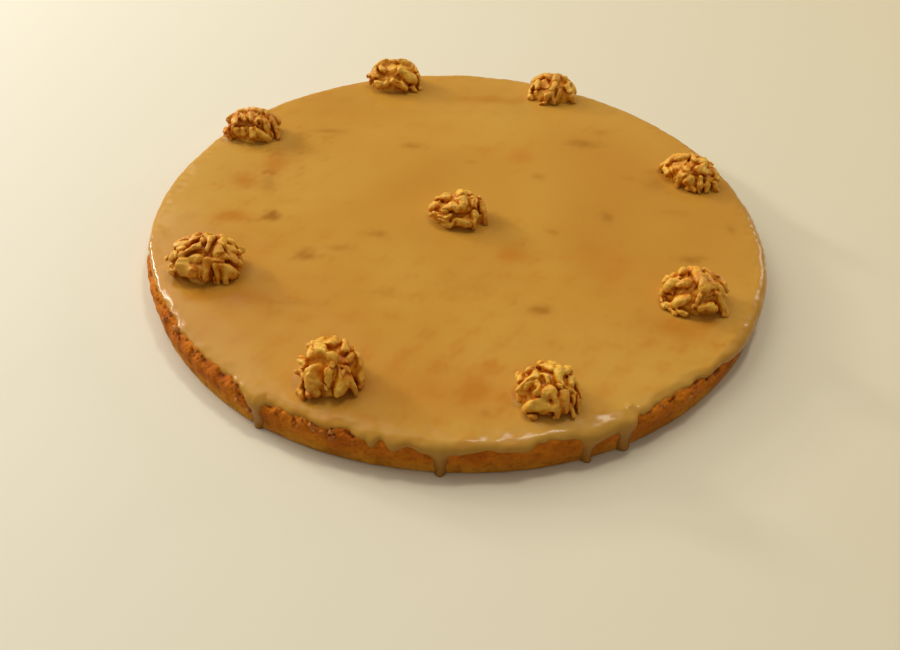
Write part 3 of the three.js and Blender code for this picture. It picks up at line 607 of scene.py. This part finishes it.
def floor_material():
    """Pale, with painted shade that makes it a little darker and warmer from half a metre left to half a
    metre right.
    """
    shader = Shader("pale floor", 0.6)
    across = shader.node("ShaderNodeSeparateXYZ")
    shader.link(shader.coordinates(), across.inputs["Vector"])
    shift = shader.node("ShaderNodeMath", operation="ADD")
    shift.inputs[1].default_value = 0.5
    shader.link(across.outputs["X"], shift.inputs[0])
    floor_shade = shader.ramp(shift.outputs["Value"], [
        (0.1, srgb(228, 224, 210)), (0.9, srgb(214, 202, 168)),
    ])
    shader.link(floor_shade, shader.surface.inputs["Base Color"])
    return shader.material


# ---------------------------------------------------------------------------
# The cake's surface
# ---------------------------------------------------------------------------


def roundness(angle):
    """How far the outline stands out or in at an angle in radians."""
    return sum(depth * np.cos(n * angle + phase) for n, depth, phase in ROUNDNESS)


def surface_point(angle, reach, out):
    """Points reach mm past the start of the shoulder and out mm clear of the
    sponge, as an array whose last axis is x, y, z."""
    centre = SPONGE_RADIUS + roundness(angle) - SHOULDER_RADIUS
    turn = np.clip(reach / SHOULDER_RADIUS, 0, SHOULDER_TURN)
    down = np.maximum(0, reach - SHOULDER_LENGTH)
    across = np.minimum(0, reach)
    radius = centre + across + (SHOULDER_RADIUS + out) * np.sin(turn) + down * np.cos(turn)
    height = SPONGE_HEIGHT - SHOULDER_RADIUS + (SHOULDER_RADIUS + out) * np.cos(turn)
    height = height - down * np.sin(turn)
    places = np.broadcast_arrays(radius * np.cos(angle), radius * np.sin(angle), height)
    return np.stack(places, axis=-1)


def edge_reach(angle):
    """Reach of the icing's edge at angles in radians, without the drips."""
    degrees = (np.degrees(angle) + 180) % 360 - 180
    knots = np.array([at for at, _ in EDGE] + [EDGE[0][0] + 360.0])
    reach = np.array([value for _, value in EDGE] + [EDGE[0][1]])
    i = np.clip(np.searchsorted(knots, degrees, side="right") - 1, 0, len(EDGE) - 1)
    share = (degrees - knots[i]) / (knots[i + 1] - knots[i])
    return reach[i] + (reach[i + 1] - reach[i]) * (0.5 - 0.5 * np.cos(share * np.pi))


def edge_distance(angle, reach):
    """Distance to the icing's edge, drips left out, below 0 past the edge, for
    a grid whose columns go evenly round the cake."""
    ripple = EDGE_RIPPLE * np.sin(angle * 47 + 2 * np.sin(angle * 12)) * np.sin(angle * 8)
    edge = edge_reach(angle) + ripple
    step = SPONGE_RADIUS * (angle[0, 1] - angle[0, 0])
    nearest = np.inf
    for k in range(-EDGE_SEARCH, EDGE_SEARCH + 1):
        nearest = np.minimum(nearest, np.hypot(k * step, np.roll(edge, k, axis=1) - reach))
    return np.sign(edge - reach) * nearest


def melted(distance):
    """A distance inside a shape as a term that adds up smoothly with others. Past
    the farthest distance a term no longer counts."""
    farthest = 8
    return np.exp(np.clip(distance, -farthest, farthest) / EDGE_MELT)


def icing_inset(angle, reach):
    """Distance inside the icing's outline, below 0 outside it, along the sponge."""
    total = melted(edge_distance(angle, reach))
    for at, width, tip in DRIPS:
        turns = (angle - math.radians(at)) / TAU
        off = (turns - np.round(turns)) * TAU * SPONGE_RADIUS
        off = off - DRIP_WANDER * np.sin(reach / 3 + at)
        radius = width / 2
        root = ROOT_SHARE * np.exp(-np.maximum(0, reach - edge_reach(angle)) / ROOT_LENGTH)
        past = np.maximum(0, reach - (tip - radius))
        total = total + melted(radius * (1 + root) - np.hypot(off, past))
    inset = EDGE_MELT * np.log(total)
    places = np.moveaxis(surface_point(angle, reach, 0), -1, 0)
    # The outline is frayed by short and long waves, which fade away from it.
    fray = 0.13 * wave_sum(waves(24, 9, 4), *places) + 0.24 * wave_sum(waves(26, 9, 10), *places)
    frayed_width = 0.9
    return inset + fray * np.exp(-(inset / frayed_width) ** 2)


def icing_out(angle, inset, reach):
    """How far the icing stands out of the sponge; below 0 it is sunk in it."""
    # Where the edge stays high up the shoulder, its bead is broad and soft.
    around = sum(edge_reach(angle + math.radians(turn)) for turn in range(-10, 11, 2)) / 11
    bead = ICING_BEAD + 3 * (1 - smooth_step(around, 1.8, 4))
    share = np.clip(inset / bead, 0, 1)
    thickness = GAP + ICING_THICKNESS * (1 - DRIP_THINNING * smooth_step(reach, 2, 8))
    foot = FOOT_SWELL * smooth_step(reach, REACH_TO_BOTTOM - FOOT_LENGTH, REACH_TO_BOTTOM)
    skin = (thickness + foot) * (1 - (1 - share) ** 2) ** 0.7
    return np.where(inset > 0, skin, np.maximum(1.6 * inset, -ICING_SUNK))


# ---------------------------------------------------------------------------
# Sponge
# ---------------------------------------------------------------------------


def ragged(angle):
    """1 where the shoulder of the sponge is torn and crumbly, near 0 elsewhere."""
    degrees = (np.degrees(angle) + 180) % 360 - 180
    fade = 4
    total = 0.15
    for first, final in TORN:
        begun = smooth_step(degrees, first - fade, first + fade)
        ended = smooth_step(degrees, final - fade, final + fade)
        total = total + begun * (1 - ended)
    return np.minimum(total, 1)


def crumb_relief(angle, reach):
    """How far the crumb stands out, how torn it is, and where its hollows lie, which also take painted
    shade.
    """
    base = surface_point(angle, reach, 0)
    x, y, z = base[..., 0], base[..., 1], base[..., 2]
    coarse = wave_sum(waves(7, 9, 9), x, y, 2 * z)
    middle = wave_sum(waves(8, 12, 3.6), x, y, z)
    fine = wave_sum(waves(9, 14, 1.7), x, y, z)
    crag = wave_sum(waves(10, 10, 6.5), x, y, 1.5 * z)
    # Torn crumb lies in a band just under the icing's edge.
    torn = ragged(angle) * np.exp(-((reach - edge_reach(angle) - 1) / 1.8) ** 2)
    pit_and_shade = smooth_step(crag + 0.35 * middle + 0.5 * torn, 0.9, 2)
    relief = 0.2 * coarse + 0.07 * middle + 0.05 * fine
    relief = relief + torn * (0.15 * middle + 0.12 * fine) - (0.2 + 0.7 * torn) * pit_and_shade - 0.1
    deepest, highest = -1.4, 0.35
    return np.clip(relief, deepest, highest), torn, pit_and_shade


def add_sponge(material):
    """The crumb that shows round the side, with its top and bottom closed."""
    columns, rows = SPONGE_COLUMNS, SPONGE_ROWS
    angle = (np.arange(columns) * TAU / columns)[None, :]
    reach = np.linspace(-5, REACH_TO_BOTTOM - 0.6, rows)[:, None]
    relief, torn, pit_and_shade = crumb_relief(angle, reach)
    # The relief fades under the icing's top and towards the bottom.
    shows = np.clip((reach + 4) / 4, 0, 1) * np.clip((REACH_TO_BOTTOM - reach) / 2.5, 0.15, 1)
    points = surface_point(angle, reach, relief * shows)
    points = points.reshape(-1, 3)
    faces = grid_faces(0, rows, columns)
    foot = surface_point(angle[0], np.full(columns, REACH_TO_BOTTOM), -0.5)
    foot[:, 2] = 0
    last = len(points)
    middle_top = last + columns
    points = np.concatenate([points, foot, [(0, 0, SPONGE_HEIGHT), (0, 0, 0)]])
    faces += grid_faces(last - columns, 2, columns)
    for j in range(columns):
        following = (j + 1) % columns
        faces.append((middle_top, j, following))
        faces.append((middle_top + 1, last + following, last + j))
    pit_shade = np.zeros(len(points))
    # Painted shade in the hollows, strongest in the torn band under the icing's edge.
    pit_shade[:last] = (pit_and_shade * (0.25 + 0.6 * torn) * shows).ravel()
    low = np.ones(len(points))
    low[:last] = np.broadcast_to(smooth_step(reach, 4, REACH_TO_BOTTOM), (rows, columns)).ravel()
    sponge = mesh_piece("sponge_crumb", points, faces, material, {"pit_and_shade": pit_shade, "low": low})
    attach(sponge, "root")
    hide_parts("sponge")


def add_crumbs(material):
    """Loose crumbs that cling to the torn shoulder under the icing's edge."""
    draw = Draw(31)
    points, faces = [], []
    steps, rings = 8, 5
    while len(points) < CRUMB_COUNT * steps * rings:
        angle = np.array(draw.spread(math.pi))
        if draw.next() > ragged(angle) ** 2:
            continue
        reach = edge_reach(angle) + draw.between(0.2, 4.2)
        size = 0.3 + draw.next() ** 3
        stretch = np.array([draw.between(0.7, 1.5) for _ in range(3)])
        centre = surface_point(angle, reach, -0.35 * size)
        lump = waves(1000 + len(points), 4, 2.4 * size)
        first = len(points)
        for k in range(rings):
            polar = math.pi * (k + 0.35) / (rings - 0.3)
            across = math.sin(polar)
            for j in range(steps):
                turn = TAU * j / steps
                ball = np.array([across * math.cos(turn), across * math.sin(turn), math.cos(polar)])
                uneven = 1 + 0.3 * wave_sum(lump, *(size * ball))
                points.append(centre + size * stretch * ball * uneven)
        last = len(points)
        faces += [face[::-1] for face in grid_faces(first, rings, steps)]
        faces.append(tuple(range(first, first + steps)))
        faces.append(tuple(range(last - steps, last))[::-1])
    crumbs = mesh_piece("clinging_crumbs", points, faces, material)
    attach(crumbs, "root")


# ---------------------------------------------------------------------------
# Icing
# ---------------------------------------------------------------------------


def icing_swell(x, y):
    """Slow waves in the icing's top, a low rise round each walnut half, pimples."""
    level = np.zeros_like(x)
    swell = 0.16 * wave_sum(waves(21, 7, 64), x, y, level)
    swell = swell + 0.03 * wave_sum(waves(22, 9, 17), x, y, level)
    rise, rise_width, pimple_rise = 0.4, 1.3, 0.4
    for nut in WALNUTS:
        turn = math.radians(nut["turn"])
        dx, dy = x - nut["x"], y - nut["y"]
        u = dx * math.cos(turn) + dy * math.sin(turn)
        v = dy * math.cos(turn) - dx * math.sin(turn)
        size = np.hypot(u / nut["length"], v / nut["width"]) * 2
        beyond = np.maximum(0, size - 0.9) * 0.25 * (nut["length"] + nut["width"])
        swell = swell + rise * np.exp(-(beyond / rise_width) ** 2)
    for px, py, size in PIMPLES:
        swell = swell + pimple_rise * size * np.exp(-((x - px) ** 2 + (y - py) ** 2) / size ** 2)
    return swell


def marked(points, marks):
    """Depth of tone of some marks, with frayed borders, at points on the icing."""
    x, y = points[:, 0], points[:, 1]
    level = 0 * x
    fray = 0.35 * wave_sum(waves(41, 9, 11), x, y, level)
    fray = fray + 0.2 * wave_sum(waves(42, 9, 4), x, y, level)
    total = 0
    for at_x, at_y, long, wide, depth in marks:
        off = ((x - at_x) / long) ** 2 + ((y - at_y) / wide) ** 2
        total = total + depth * np.exp(-off * np.maximum(0.3, 1 + fray))
    return np.clip(total, 0, 1)


def icing_rim(angle, reach, inset):
    """Points of the icing from the flat top's edge over the shoulder and down."""
    out = icing_out(angle, inset, reach)
    places = np.moveaxis(surface_point(angle, reach, out), -1, 0)
    wobble = 0.1 * wave_sum(waves(23, 9, 15), *places)
    wobble = wobble + 0.05 * wave_sum(waves(25, 9, 5.5), *places)
    wobble = wobble * smooth_step(inset, 0.6, 3) * smooth_step(reach, -6, -1)
    points = surface_point(angle, reach, out + wobble)
    level = smooth_step(inset, 0.4, 4) * (1 - smooth_step(reach, -3, SHOULDER_LENGTH * 0.6))
    points[..., 2] += level * icing_swell(points[..., 0], points[..., 1])

    # The sag is deepest where the shoulder starts, and fades as the side begins.
    kept = 1 - smooth_step(reach, 1, 6)
    points[..., 2] -= RIM_SAG * (np.clip(reach - RIM_START, 0, -RIM_START) / -RIM_START) ** 2 * kept
    for at, half, fall in RIM_FALLS:
        off = (np.degrees(angle) - at) / half
        points[..., 2] -= fall * np.exp(-off ** 4) * (np.clip(reach + 5, 0, 6) / 5) ** 2 * kept
    points[..., 2] = np.maximum(points[..., 2], FLOOR_CLEARANCE)
    return points.reshape(-1, 3)


def icing_top(total):
    """The flat top: rings of evenly spaced points that shrink from the first row
    of the rim to the middle. Their numbers start at total."""
    points, faces = [], []
    ring_first, ring_count = 0, ICING_COLUMNS
    start = SPONGE_RADIUS - SHOULDER_RADIUS + RIM_START
    ring_total = int(start / TOP_SPACING)
    for k in range(1, ring_total):
        share = 1 - k / ring_total
        count = max(6, min(ICING_COLUMNS, int(round(TAU * start * share / TOP_SPACING))))
        turn = np.arange(count) * TAU / count - math.pi
        radius = (start + roundness(turn)) * share
        x, y = radius * np.cos(turn), radius * np.sin(turn)
        points.append(np.stack([x, y, ICING_TOP + icing_swell(x, y)], axis=-1))
        faces += [face[::-1] for face in ring_faces(ring_first, ring_count, total, count)]
        ring_first, ring_count = total, count
        total += count
    middle = np.array([[0.0, 0.0, ICING_TOP]])
    middle[:, 2] += icing_swell(middle[:, 0], middle[:, 1])
    points.append(middle)
    for j in range(ring_count):
        faces.append((ring_first + j, ring_first + (j + 1) % ring_count, total))
    return np.concatenate(points), faces


def icing_underside(angle, final_reach, last_row, total):
    """The underside, sunk in the sponge, which closes the icing from the last row
    of the rim to the middle. Its numbers start at total."""
    columns = ICING_COLUMNS
    under = surface_point(angle, np.full(columns, final_reach), -UNDERSIDE_DEPTH)
    shelf = surface_point(angle, np.full(columns, RIM_START), -UNDERSIDE_DEPTH)
    middle = np.array([[0, 0, SPONGE_HEIGHT - UNDERSIDE_DEPTH]])
    faces = []
    for j in range(columns):
        following = (j + 1) % columns
        for upper, lower in ((last_row, total), (total, total + columns)):
            faces.append((upper + j, lower + j, lower + following, upper + following))
        faces.append((total + columns + following, total + columns + j, total + 2 * columns))
    return np.concatenate([under, shelf, middle]), faces


def add_icing(material):
    columns = ICING_COLUMNS
    # Rows lie close on the shoulder, where the icing bends and ends.
    steps = np.concatenate([
        np.linspace(RIM_START, -2, 6)[:-1], np.linspace(-2, 8.2, 26)[:-1],
        np.linspace(8.2, REACH_TO_BOTTOM - 0.2, 12),
    ])
    rows = len(steps)
    angle = np.broadcast_to(np.arange(columns) * TAU / columns - math.pi, (rows, columns))
    reach = np.broadcast_to(steps[:, None], (rows, columns))
    inset = icing_inset(angle, reach)
    rim = icing_rim(angle, reach, inset)
    top, top_faces = icing_top(len(rim))
    last_row = (rows - 1) * columns
    under, under_faces = icing_underside(angle[0], steps[-1], last_row, len(rim) + len(top))
    points = np.concatenate([rim, top, under])
    faces = grid_faces(0, rows, columns) + top_faces + under_faces
    # Down the side the icing is darkened: partly the crumb showing through, partly painted shade of the
    # side turned away from the light.
    film_and_shade = np.zeros(len(points))
    edge_share = 1 - 0.4 * smooth_step(inset, 0.2, 2.4)
    film_and_shade[:len(rim)] = (edge_share * smooth_step(reach, 2, 9)).ravel()
    values = {"film_and_shade": film_and_shade, "spot_and_shadow": marked(points, SPOTS_AND_SHADOWS), "patch": marked(points, PATCHES)}
    icing = mesh_piece("coffee_icing", points, faces, material, values)
    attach(icing, "root")
    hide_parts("icing")


# ---------------------------------------------------------------------------
# Walnut halves
# ---------------------------------------------------------------------------


def dome_height(nut, x, y):
    """Height of the smooth dome that a half's lobes follow."""
    share = 1 - (2 * x / nut["length"]) ** 2 - (2 * y / nut["width"]) ** 2
    return nut["height"] * math.sqrt(max(0, share))


def lobes(nut):
    """The lobes of a half, each a chain of balls (x, y, z, radius)."""
    draw = Draw(nut["seed"])
    turn = math.radians(nut["turn"])
    cos, sin = math.cos(turn), math.sin(turn)
    chains = []
    spacing = 1.2

    def ball(x, y, size, lift):
        return (x, y, max(dome_height(nut, x, y) - size + lift, 0.5 * size), size)

    for x0, y0, x1, y1, radius, lift in nut["lobes"]:
        length = math.hypot(x1 - x0, y1 - y0)
        steps = max(2, round(length / spacing))
        bow, knots = draw.spread(0.5), draw.next() * TAU
        chain = []
        for i in range(steps + 1):
            t = i / steps
            bulge = math.sin(math.pi * t)
            x = x0 + (x1 - x0) * t - (y1 - y0) * bow * bulge / length
            y = y0 + (y1 - y0) * t + (x1 - x0) * bow * bulge / length
            size = radius * (0.84 + 0.26 * bulge) * (1 + 0.08 * math.sin(knots + 6 * t))
            chain.append(ball(x * cos + y * sin, y * cos - x * sin, size, lift))
        chains.append(np.array(chain))

    # More lobes run down to the rim wherever none of those above lies near.
    places, near = 14, 3
    for k in range(places):
        heading = TAU * (k + draw.between(0.2, 0.8)) / places
        rim = np.array([nut["length"] * math.cos(heading), nut["width"] * math.sin(heading)]) / 2
        size = draw.between(1.5, 2.1)
        foot = rim * (1 - size / np.linalg.norm(rim))
        balls = np.concatenate(chains)
        if np.hypot(*(balls[:, :2] - foot).T).min() > near:
            shares = np.linspace(draw.between(0.5, 0.7), 1, 5)
            chains.append(np.array([ball(*(foot * share), size, 0.2) for share in shares]))
    return chains


def chain_distance(chain, x, y, z):
    """Distance to a chain of balls joined by cones."""
    best = np.inf
    for a, b in zip(chain[:-1], chain[1:]):
        dx, dy, dz, dr = b - a
        dot = (x - a[0]) * dx + (y - a[1]) * dy + (z - a[2]) * dz
        t = np.clip(dot / (dx * dx + dy * dy + dz * dz), 0, 1)
        off = np.sqrt((x - a[0] - t * dx) ** 2 + (y - a[1] - t * dy) ** 2 + (z - a[2] - t * dz) ** 2)
        best = np.minimum(best, off - a[3] - t * dr)
    return best


def walnut_field(nut, voxel, sunk):
    """Signed distance on a grid, and the grid's lowest corner."""
    melt, warp, crevice_depth, crevice_width = 0.36, 0.36, 0.7, 0.3
    margin = 2.2
    # Distances are cut off where their terms in the sum no longer count.
    deepest, farthest = -6, 8
    low = np.array([-nut["length"] / 2 - margin, -nut["width"] / 2 - margin, -sunk - 3 * voxel])
    high = np.array([nut["length"] / 2 + margin, nut["width"] / 2 + margin, nut["height"] + margin])
    counts = np.ceil((high - low) / voxel).astype(int) + 1
    axes = [low[k] + voxel * np.arange(counts[k]) for k in range(3)]
    x, y, z = np.meshgrid(*axes, indexing="ij")
    seed = nut["seed"] * 10
    px = x + warp * wave_sum(waves(seed + 1, 5, 9), x, y, z)
    py = y + warp * wave_sum(waves(seed + 2, 5, 9), x, y, z)
    pz = z + 0.6 * warp * wave_sum(waves(seed + 3, 5, 9), x, y, z)
    core = np.array([0.44 * nut["length"], 0.44 * nut["width"], 0.81 * nut["height"]])
    ball = np.sqrt((px / core[0]) ** 2 + (py / core[1]) ** 2 + (pz / core[2]) ** 2)
    total = np.exp(-np.clip((ball - 1) * core.min(), deepest, -deepest) / melt)
    around = 5 * melt + 2 * warp
    for chain in lobes(nut):
        first = (chain[:, :3] - chain[:, 3:]).min(0) - around
        final = (chain[:, :3] + chain[:, 3:]).max(0) + around
        start = np.maximum(((first - low) / voxel).astype(int), 0)
        stop = np.minimum(((final - low) / voxel).astype(int) + 2, counts)
        part = tuple(slice(a, b) for a, b in zip(start, stop))
        distance = chain_distance(chain, px[part], py[part], pz[part])
        total[part] += np.exp(-np.clip(distance, deepest, farthest) / melt)
    field = -melt * np.log(total)
    crevice = wave_sum(waves(seed + 4, 9, 10.5), px, py, pz) / crevice_width
    field += crevice_depth * np.exp(-crevice ** 2)
    wrinkle = wave_sum(waves(seed + 5, 9, 3.2), px, py, pz)
    field += 0.11 * wrinkle + 0.08 * np.exp(-(wrinkle / 0.4) ** 2)
    field += 0.05 * wave_sum(waves(seed + 6, 9, 1.4), x, y, z)
    return np.maximum(field, -z - sunk), low


def sampled(field, low, voxel, points):
    """The field at any points, blended from the grid's eight nearest values."""
    last_cell = np.array(field.shape) - 1.001
    place = np.clip((points - low) / voxel, 0, last_cell)
    cell = place.astype(int)
    share = place - cell
    total = 0
    for corner in np.ndindex(2, 2, 2):
        weight = np.prod(np.where(corner, share, 1 - share), axis=1)
        at = cell + corner
        total = total + weight * field[at[:, 0], at[:, 1], at[:, 2]]
    return total


def openness_for_shade(field, low, voxel, points):
    """How clear of the folds around it a point lies, about 1 on a ridge and 0 deep in a crevice; it sets
    the painted shade of the skin.
    """
    tilt, reach = [], 0.3
    for step in np.eye(3) * reach:
        beyond = sampled(field, low, voxel, points + step)
        before = sampled(field, low, voxel, points - step)
        tilt.append(beyond - before)
    normal = np.stack(tilt, axis=1)
    normal /= np.linalg.norm(normal, axis=1)[:, None] + 1e-9
    total = 0
    for distance, weight in ((0.7, 0.3), (1.4, 0.35), (2.4, 0.35)):
        there = sampled(field, low, voxel, points + normal * distance)
        total = total + weight * np.clip(there / distance, -0.2, 1)
    return total


def add_walnut(nut, material):
    """A half that stands where its solid does, sunk a little in the icing."""
    field, low = walnut_field(nut, WALNUT_VOXEL, WALNUT_SUNK)
    grid = openvdb.FloatGrid()
    grid.background = 3.0
    grid.copyFromArray(field.astype(np.float32))
    corners, quads = grid.convertToQuads(0.0)
    points = corners * WALNUT_VOXEL + low
    # The painted shade of the crevices is kept as an attribute of each point.
    values = openness_for_shade(field, low, WALNUT_VOXEL, points)
    turn = math.radians(nut["turn"])
    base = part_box(nut["name"])[0][2] / MM
    placed = np.stack([
        nut["x"] + points[:, 0] * math.cos(turn) - points[:, 1] * math.sin(turn),
        nut["y"] + points[:, 0] * math.sin(turn) + points[:, 1] * math.cos(turn),
        base + points[:, 2],
    ], axis=1)
    half = mesh_piece(nut["name"] + "_half", placed, quads[:, ::-1].tolist(), material, {"shade_openness": values})
    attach(half, "root")
    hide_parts(nut["name"])


# ---------------------------------------------------------------------------
# The scene
# ---------------------------------------------------------------------------

add_camera()
add_world(ROOM_LOW, ROOM_HIGH)
for light in LIGHTS:
    add_area_light(*light)
add_floor(floor_material())
bpy.context.scene.view_settings.view_transform = "Standard"

add_sponge(sponge_material())
add_crumbs(crumb_material())
add_icing(icing_material())
nut_skin = walnut_material()
for nut in WALNUTS:
    add_walnut(nut, nut_skin)
